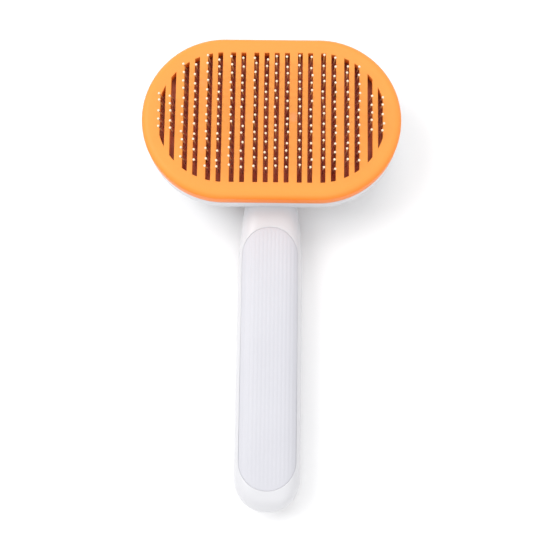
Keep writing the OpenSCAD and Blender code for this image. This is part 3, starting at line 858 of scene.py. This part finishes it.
def cushion():
    """The pad as one closed surface: an edge carried round, two flat faces, and walls in the openings."""
    width, height = pad_high[0] - pad_low[0], pad_high[1] - pad_low[1]
    top, low, full = pad_high[2], pad_low[2], height / 2
    loop = stadium_loop((width - height) / 2)
    edge = np.concatenate([arc((full - PAD_EDGE_R, top - PAD_EDGE_R), PAD_EDGE_R, 90, 0, 6),
                           [(full, low + PAD_CHAMFER), (full - PAD_CHAMFER, low)]])
    net = Net()
    net.grid(sweep_loop(loop, edge), wrap_columns=True)
    opening = rounded_rectangle(POST_W + 2 * POST_ROOM, POST_L + 2 * POST_ROOM, OPENING_R)
    openings = [opening + np.array(centre) for centre in post_places]
    for level, radius in ((top, full - PAD_EDGE_R), (low, full - PAD_CHAMFER)):
        flat_region(net, level, loop[0] + loop[1] * radius, openings)
    for hole in openings:
        walls = [np.column_stack([hole, np.full(len(hole), level)]) for level in (top, low)]
        net.grid(np.stack(walls), wrap_columns=True)
    return net


bed = make_piece("rubber_cushion", cushion(), "brush", rubber, ["cushion_pad"])

# %% [markdown]
# The pins are wire staples. Both legs rise from a bar in the cushion, pass through a pair of slots and
# bend at a knee there, which lets the pins slip through fur without scratching. A polyline would show a
# kink at the knee, so the centre line is one smooth formula. No two legs of a real brush are quite
# alike, so each tip has an error of its own, which grows along the leg from the knee upwards.

# %% The line of a leg
CROWN_ABOVE, KNEE_ABOVE, KNEE_SOFT = 0.45, 0.5, 0.6
BEAD_R = 0.55
LOWER_SLOPE = math.tan(math.radians(7))
UPPER_SLOPE = -math.tan(math.radians(9))
LEG_HALF = (leg_x[1] - leg_x[0]) / 2
crown_z = pad_low[2] + CROWN_ABOVE
knee_z = plate_z + KNEE_ABOVE
tip_z = low_high("tip_beads_05")[1][2] - BEAD_R
leg_heights = np.concatenate([np.linspace(crown_z + 0.5, knee_z - 1.2, 4),
                              np.linspace(knee_z - 0.8, knee_z + 0.8, 5),
                              np.linspace(knee_z + 2.5, tip_z, 5)])


def leg_line(x, y, side, tip_error, heights):
    """A leg's centre line at the given heights.

    Its slope changes from the lower to the upper value through a soft knee: half of the height
    past the knee plus the root of its square and the square of the knee's width.
    """
    past = 0.5 * ((heights - knee_z) + np.sqrt((heights - knee_z) ** 2 + KNEE_SOFT**2))
    lean = LOWER_SLOPE * (heights - crown_z) + (UPPER_SLOPE - LOWER_SLOPE) * past
    share = past / (tip_z - knee_z)
    return np.stack([x + side * LEG_HALF + share * tip_error[:, 0, None],
                     y[:, None] + lean + share * tip_error[:, 1, None],
                     np.broadcast_to(heights, (len(y), len(heights)))], -1)


print(f"a leg runs from {crown_z:.1f} to {tip_z:.1f} mm and bends at {knee_z:.1f} mm")

# %% [markdown]
# A staple could be a curve with a round bevel, but there are over a hundred of them. So all staples of
# a column are worked out in one array, as tubes of eight sides, and their small errors come from a
# seeded generator. A drop of resin on each tip is a small ball of latitudes and longitudes.

# %% Staples and balls
SIDES = 8
TIP_R = 0.5
TIP_SPREAD = np.array([0.22, 0.42])
TIP_LEAN = np.array([[[-0.2, 0.35]], [[0.2, -0.35]]])
BAR = ((-LEG_HALF + 0.15, 0.14), (-LEG_HALF + 0.5, 0), (LEG_HALF - 0.5, 0), (LEG_HALF - 0.15, 0.14))
random = np.random.default_rng(7)


def staples(x, y):
    """Tubes of a column's staples and the centres of their tips.

    A tube's ring is the wire's radius times a cosine and a sine along two normals of the line.
    """
    errors = np.clip(random.normal(0, 1, (2, len(y), 2)), -2, 2) * TIP_SPREAD + TIP_LEAN
    left = leg_line(x, y, -1, errors[0], leg_heights)
    right = leg_line(x, y, 1, errors[1], leg_heights)
    bar = [np.stack([np.full(len(y), x + dx), y, np.full(len(y), crown_z + dz)], -1) for dx, dz in BAR]
    line = np.concatenate([left[:, ::-1], np.stack(bar, 1), right], 1)
    along = np.gradient(line, axis=1)
    along /= np.linalg.norm(along, axis=-1, keepdims=True)
    across = np.cross(along, [0.0, 1.0, 0.0])
    across /= np.linalg.norm(across, axis=-1, keepdims=True)
    third = np.cross(across, along)
    turn = np.linspace(0, 2 * np.pi, SIDES, endpoint=False)[None, None, :, None]
    normals = np.cos(turn) * third[:, :, None] + np.sin(turn) * across[:, :, None]
    rings = line[:, :, None] + WIRE_R * normals
    caps = [np.repeat(line[:, end, None, None], SIDES, axis=2) for end in (0, -1)]
    return np.concatenate([caps[0], rings, caps[1]], 1), np.concatenate([left[:, -1], right[:, -1]])


def balls(centres, rings=7, steps=10):
    """Small balls: each point is the centre plus the radius along a latitude and a longitude."""
    rise = np.linspace(-np.pi / 2, np.pi / 2, rings)[:, None]
    turn = np.linspace(0, 2 * np.pi, steps, endpoint=False)[None]
    ball = np.stack([np.cos(rise) * np.cos(turn), np.cos(rise) * np.sin(turn),
                     np.broadcast_to(np.sin(rise), (rings, steps))], -1)
    return centres[:, None, None] + TIP_R * ball


print("points on a ball:", balls(np.zeros((1, 3)))[0, ..., 0].size)

# %% [markdown]
# The staples stand at a fixed pitch, so a column holds as many as fit between the ends of its slots.
# The box of the column's beads gives that number and the column's place.

# %% Ten columns of pins
PIN_PITCH = 3.42
tips = 0
for column in COLUMNS:
    low, high = low_high(f"tip_beads_{column}")
    count = round((high[1] - low[1] - 2 * BEAD_R) / PIN_PITCH) + 1
    y = (np.arange(count) - (count - 1) / 2) * PIN_PITCH
    tubes, ends = staples((low[0] + high[0]) / 2, y)
    tips += len(ends)
    wires, beads = Net(), Net()
    wires.many(tubes)
    beads.many(balls(ends))
    make_piece(f"wire_pins_{column}", wires, "brush", wire_steel, [f"pin_column_{column}"])
    make_piece(f"ball_tips_{column}", beads, "brush", resin, [f"tip_beads_{column}"])
print("tips:", tips)

# %% [markdown]
# The handle is the white grip, with a narrowed neck and a round end. It could be sculpted from a box
# with subdivision, but formulas keep its outline exact: they give half its width at each point of its
# length.

# %% The handle's outline
HALF_W = (handle_high[0] - handle_low[0]) / 2
END_Y = handle_low[1]
END_CENTRE = END_Y + HALF_W
SEAM_Z, TOP_Z = handle_low[2], handle_high[2]
NECK_START, NECK_R = -60.0, 168.0
NOSE_Y, NOSE_L = -31.0, 3.5


def half_width(y):
    """Half the handle's width: straight, with a half circle at the end and arcs in to the neck."""
    neck = NECK_R - np.sqrt(NECK_R**2 - np.maximum(y - NECK_START, 0) ** 2)
    end = np.sqrt(np.maximum(HALF_W**2 - np.minimum(y - END_CENTRE, 0) ** 2, 0))
    nose = np.sqrt(np.maximum(1 - (np.maximum(y - NOSE_Y, 0) / NOSE_L) ** 2, 0))
    return (end - neck) * nose


print(f"handle {2 * HALF_W:.1f} mm wide, {2 * half_width(NOSE_Y):.1f} mm at the neck")

# %% [markdown]
# The handle is moulded as two shells that meet at a seam, each a crown over the same outline. The height
# at any point of the plan is the crown times a factor that falls to nothing at the outline, across the
# handle and again towards its end. As one formula it serves the shell and its grip panel alike.

# %% The handle's heights
RISE_START, RISE_R, RISE_L = -72.0, 100.0, 60.0
NECK_SEAM = 0.4
FRONT_FLAT, FRONT_SHOULDER, FRONT_END = 4.2, 2.7, 9.0
REAR_FLAT, REAR_SHOULDER, REAR_END = 3.6, 2.4, 8.0


def across_factor(x, y, flatness, shoulder):
    """1 on the centre line and 0 at the outline: a superellipse in the share of the half width."""
    share = np.clip(np.abs(x) / np.maximum(half_width(y), 1e-4), 0, 1)
    return (1 - share**flatness) ** (1 / shoulder)


def end_factor(y, radius):
    """1 along the handle, falling on a quarter ellipse to 0 over the last radius of its length."""
    past = np.clip((END_Y + radius - y) / radius, 0, 1)
    return np.sqrt(1 - past**2)


def front_height(x, y):
    """Height of the handle's front: the seam plus the crown times the two factors."""
    factor = across_factor(x, y, FRONT_FLAT, FRONT_SHOULDER) * end_factor(y, FRONT_END)
    return SEAM_Z + (TOP_Z - SEAM_Z) * factor


def rear_height(x, y):
    """Height of the handle's back, whose lowest line rises on an arc towards the neck."""
    rise = RISE_R - np.sqrt(RISE_R**2 - np.clip(y - RISE_START, 0, RISE_L) ** 2)
    base = np.minimum(rise, SEAM_Z - NECK_SEAM)
    factor = across_factor(x, y, REAR_FLAT, REAR_SHOULDER) * end_factor(y, REAR_END)
    return SEAM_Z - (SEAM_Z - base) * factor


print(f"front and back half way: {front_height(0.0, -100.0):.1f} and {rear_height(0.0, -100.0):.1f} mm")

# %% [markdown]
# Seen from above, a shell is the ring between the grip panel and the handle's outline. A plain grid
# over the whole plan would cut across both edges in steps. So the grid runs round the panel one way,
# and from the panel to the outline the other way, and both edges come out clean.

# %% Rings between a panel and the outline
CLIMB_TURN = 66


def panel_ring(radius, centre_low, centre_high, arc_steps=40, side_steps=50):
    """Matching loops round a panel and round the handle.

    Half a turn runs from the middle of the end, up the right side, to the neck's nose. The other
    half is its mirror image, so the two meet on the centre line.
    """
    turn = np.linspace(-np.pi / 2, 0, arc_steps, endpoint=False)
    inner_end = np.stack([radius * np.cos(turn), centre_low + radius * np.sin(turn)], -1)
    outer_end = np.stack([HALF_W * np.cos(turn), END_CENTRE + HALF_W * np.sin(turn)], -1)
    share = np.linspace(0, 1, side_steps, endpoint=False)
    inner_y = centre_low + (centre_high - centre_low) * share
    inner_side = np.stack([np.full(side_steps, radius), inner_y], -1)
    outer_y = END_CENTRE + (centre_high - END_CENTRE) * share
    outer_side = np.stack([half_width(outer_y), outer_y], -1)
    turn = np.linspace(0, np.pi / 2, arc_steps + 1)
    inner_top = np.stack([radius * np.cos(turn), centre_high + radius * np.sin(turn)], -1)
    climb = np.clip(turn / math.radians(CLIMB_TURN), 0, 1)
    nose = (turn - math.radians(CLIMB_TURN)) / math.radians(90 - CLIMB_TURN)
    nose = np.clip(nose, 0, 1) * np.pi / 2
    top_y = centre_high + (NOSE_Y - centre_high) * climb + NOSE_L * np.sin(nose)
    top_x = half_width(np.minimum(top_y, NOSE_Y)) * np.cos(nose)
    inner = np.concatenate([inner_end, inner_side, inner_top])
    outer = np.concatenate([outer_end, outer_side, np.stack([top_x, top_y], -1)])
    mirror = np.array([-1.0, 1.0])
    return [np.concatenate([loop, loop[-2:0:-1] * mirror]) for loop in (inner, outer)]


panel_low, panel_high = low_high("front_grip_panel")
rear_low, rear_high = low_high("back_grip_panel")
panel_r = (panel_high[0] - panel_low[0]) / 2
rear_r = (rear_high[0] - rear_low[0]) / 2
panel_ends = (panel_low[1] + panel_r, panel_high[1] - panel_r)
rear_ends = (rear_low[1] + rear_r, rear_high[1] - rear_r)
print("points round the front panel:", len(panel_ring(panel_r, *panel_ends)[0]))

# %% [markdown]
# A shell is moulded as a skin with a pocket for its panel. Each row of the grid is a loop: the floor of
# the pocket, the sloped edge round the panel, the crown down to the outline, and back along the seam,
# where a fine groove shows where the two halves meet.

# %% The handle's shells
PANEL_GAP, PANEL_DROP = 0.06, 0.08
EDGE_SLOPE = 0.35
EDGE_ROWS = ((0.0, 0.2), (0.08, 0.14), (0.22, 0.03), (EDGE_SLOPE, 0.0))
POCKET, POCKET_RIM = 0.45, 1.0
CROWN_ROWS = 18
SEAM_GROOVE, GROOVE_REACH = 0.14, 1.5
SEAM_STOP = NOSE_Y - 8


def shell(radius, centre_low, centre_high, height, inward):
    """One closed shell of the handle: pocket floor, groove, panel edge, side, and the seam.

    Rows from the panel's edge to the outline crowd towards the outline, where the side stands
    upright: the share of the way is one minus the cube of what is left.
    """
    inner, outer = panel_ring(radius, centre_low, centre_high)
    outwards = outer - inner
    outwards /= np.linalg.norm(outwards, axis=1, keepdims=True)
    around = len(inner)

    def lifted(plan, drop):
        return np.column_stack([plan, height(plan[:, 0], plan[:, 1]) + inward * drop])

    spine_line = np.stack([np.zeros(around), np.clip(inner[:, 1], centre_low, centre_high)], -1)
    rows = [lifted(plan, POCKET) for plan in (spine_line, inner - outwards * POCKET_RIM, inner)]
    rows += [lifted(inner + outwards * offset, drop) for offset, drop in EDGE_ROWS]
    start = inner + outwards * EDGE_SLOPE
    left = 1 - np.linspace(0, 1, CROWN_ROWS)[1:]
    rows += [lifted(start + (outer - start) * share, 0.0) for share in 1 - left**3]
    rows[-1][:, 2] = SEAM_Z - inward * SEAM_GROOVE
    seam = np.full(around, SEAM_Z)
    rows.append(np.column_stack([outer - outwards * GROOVE_REACH * SEAM_GROOVE, seam]))
    rows.append(np.column_stack([np.zeros(around), np.clip(outer[:, 1], END_CENTRE, SEAM_STOP), seam]))
    net = Net()
    net.grid(np.stack(rows), wrap_columns=True)
    return net


front_shell = shell(panel_r + PANEL_GAP, *panel_ends, front_height, -1.0)
rear_shell = shell(rear_r + PANEL_GAP, *rear_ends, rear_height, 1.0)
make_piece("handle_front", front_shell, "brush", white_skin, ["handle_front_shell"])
make_piece("handle_back", rear_shell, "brush", white_skin, ["handle_back_shell"])

# %% [markdown]
# The grip panels lie a little below the shells' skin, whose edge slopes down to them. A bump in the
# material could suggest their ribs, but real ribs catch the light at the edges too. They run along the
# handle, so the grid's columns do too, and each rib is a raised cosine across them that fades out
# before the panel's edge. The outermost columns stop just short of the edge, so none shrinks to a point.

# %% The ribbed grip panels
RIB_PITCH, RIB_H = 1.62, 0.09
COLUMNS_PER_RIB = 10
PANEL_ROWS = 48
FADE_FROM, FADE_OVER = 0.5, 1.2
ROUNDING, ROUNDING_W = 0.12, 0.35
SIDE_SHARE = 0.999
RIB_SHARP = 50


def grip_panel(radius, ends, height, outward):
    """A closed slab that follows the handle's surface, with lengthwise ribs on it."""
    columns = int(radius / RIB_PITCH * 2) * COLUMNS_PER_RIB
    x = radius * np.sin(np.linspace(-1, 1, columns + 1) * np.pi / 2 * SIDE_SHARE)
    centre, half = (ends[0] + ends[1]) / 2, (ends[1] - ends[0]) / 2
    reach = half + np.sqrt(np.maximum(radius**2 - x**2, 0))
    share = np.sin(np.linspace(-1, 1, PANEL_ROWS) * np.pi / 2)
    plan_x = np.broadcast_to(x[:, None], (len(x), PANEL_ROWS))
    plan_y = centre + reach[:, None] * share[None]
    from_edge = radius - np.hypot(plan_x, np.maximum(np.abs(plan_y - centre) - half, 0))
    fade = np.clip((from_edge - FADE_FROM) / FADE_OVER, 0, 1)
    rib = RIB_H * (0.5 + 0.5 * np.cos(2 * np.pi * plan_x / RIB_PITCH)) * fade
    rounding = ROUNDING * np.clip(1 - from_edge / ROUNDING_W, 0, 1) ** 2
    skin = height(plan_x, plan_y)
    top = np.stack([plan_x, plan_y, skin + outward * (rib - RIB_H - rounding - PANEL_DROP)], -1)
    bottom = np.stack([plan_x, plan_y, skin - outward * POCKET], -1)
    net = Net()
    net.grid(top)
    net.grid(bottom)
    for edges in ((top[0], bottom[0]), (top[-1], bottom[-1]),
                  (top[:, 0], bottom[:, 0]), (top[:, -1], bottom[:, -1])):
        net.grid(np.stack(edges))
    return net


make_piece("front_grip", grip_panel(panel_r, panel_ends, front_height, 1.0), "brush",
           grip_skin, ["front_grip_panel"], sharp=RIB_SHARP)
make_piece("back_grip", grip_panel(rear_r, rear_ends, rear_height, -1.0), "brush",
           grip_skin, ["back_grip_panel"], sharp=RIB_SHARP)

# %% [markdown]
# The tray, the push frame and the inner screws are hardly seen. They could be drawn again too, but
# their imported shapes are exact, so they keep them and take only a finish of their own.

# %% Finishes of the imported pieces
kept = {"pin_carrier": inner_skin, "push_frame": inner_skin, "frame_screws": screw_steel,
        "button_screws": screw_steel, "handle_screws": screw_steel}
for node, finish in kept.items():
    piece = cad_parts[node]
    piece.data.materials.clear()
    piece.data.materials.append(finish)
print("packed pieces with a finish:", ", ".join(kept))

# %% [markdown]
# The brush lies on a sheet of pale paper. One large face is enough for it, and it lies a tenth of a
# millimetre below the brush, so that the two never share a plane.

# %% The floor
FLOOR_HALF = 3.0
FLOOR_DROP = 0.0001


def pale_paper():
    """Matt paper, with a fine fibre and a slow change of tone."""
    finish = Finish("pale paper")
    fibre = finish.noise(900, 3)
    base = finish.mix(finish.noise(3, 2), colour(250, 250, 250), colour(246, 246, 247))
    return finish.done(base, 0.85 + (fibre - 0.5) * 0.1, fibre, 0.00003)


floor_mesh = bpy.data.meshes.new("floor")
floor_corners = [(sx * FLOOR_HALF, sy * FLOOR_HALF, 0) for sx, sy in ((-1, -1), (1, -1), (1, 1), (-1, 1))]
floor_mesh.from_pydata(floor_corners, [], [(0, 1, 2, 3)])
floor_mesh.materials.append(pale_paper())
floor = bpy.data.objects.new("floor", floor_mesh)
floor.location.z = -FLOOR_DROP
bpy.context.scene.collection.objects.link(floor)

# %% [markdown]
# A large soft light stands to the left, so that the rounded edges show, with weaker ones above the head
# and beyond the handle's end to lift the shadows. A white world fills in the rest. The Standard view
# keeps the colours as the finishes give them.

# %% Light
MIDDLE = (0.0, -0.06, 0.02)
LIGHTS = {"key light": ((-0.6, 0.15, 0.85), 0.6, 4.6),
          "top light": ((0.1, 0.5, 1.0), 0.6, 2.4),
          "fill light": ((0.3, -0.85, 0.6), 0.8, 1.9)}
WORLD_STRENGTH = 0.8


def soft_light(name, place, size, power):
    """A square area light at a place, aimed at the brush's middle, in metres and watts."""
    data = bpy.data.lights.new(name, "AREA")
    data.shape = "SQUARE"
    data.size = size
    data.energy = power
    light = bpy.data.objects.new(name, data)
    light.location = place
    light.rotation_euler = (Vector(MIDDLE) - Vector(place)).to_track_quat("-Z", "Y").to_euler()
    bpy.context.scene.collection.objects.link(light)
    print(f"{name}: {power} W, {math.dist(place, MIDDLE):.2f} m away")


for name, (place, size, power) in LIGHTS.items():
    soft_light(name, place, size, power)
world = bpy.data.worlds.new("soft white")
world.use_nodes = True
world.node_tree.nodes["Background"].inputs["Color"].default_value = (1, 1, 1, 1)
world.node_tree.nodes["Background"].inputs["Strength"].default_value = WORLD_STRENGTH
bpy.context.scene.world = world
bpy.context.scene.view_settings.view_transform = "Standard"

# %% [markdown]
# The camera looks down from beyond the handle's middle, a little towards the head. It is placed by a
# turn and a distance from the point it looks at, which is easier to adjust than a place and angles.

# %% Camera
PITCH, YAW, ROLL = math.radians(9.11), math.radians(0.48), math.radians(0.75)
DISTANCE = 0.4
TARGET = Vector((0.0030, -0.0627, 0.020))
LENS, SENSOR = 63.9, 36.0
CLIP_START = 0.01
turn = Matrix.Rotation(YAW, 3, "Y") @ Matrix.Rotation(PITCH, 3, "X") @ Matrix.Rotation(ROLL, 3, "Z")
camera_data = bpy.data.cameras.new("camera")
camera_data.lens = LENS
camera_data.sensor_width = SENSOR
camera_data.clip_start = CLIP_START
camera = bpy.data.objects.new("camera", camera_data)
camera.matrix_world = Matrix.Translation(TARGET + turn @ Vector((0, 0, DISTANCE))) @ turn.to_4x4()
bpy.context.scene.collection.objects.link(camera)
bpy.context.scene.camera = camera
print("camera at", tuple(round(part, 3) for part in camera.matrix_world.translation))
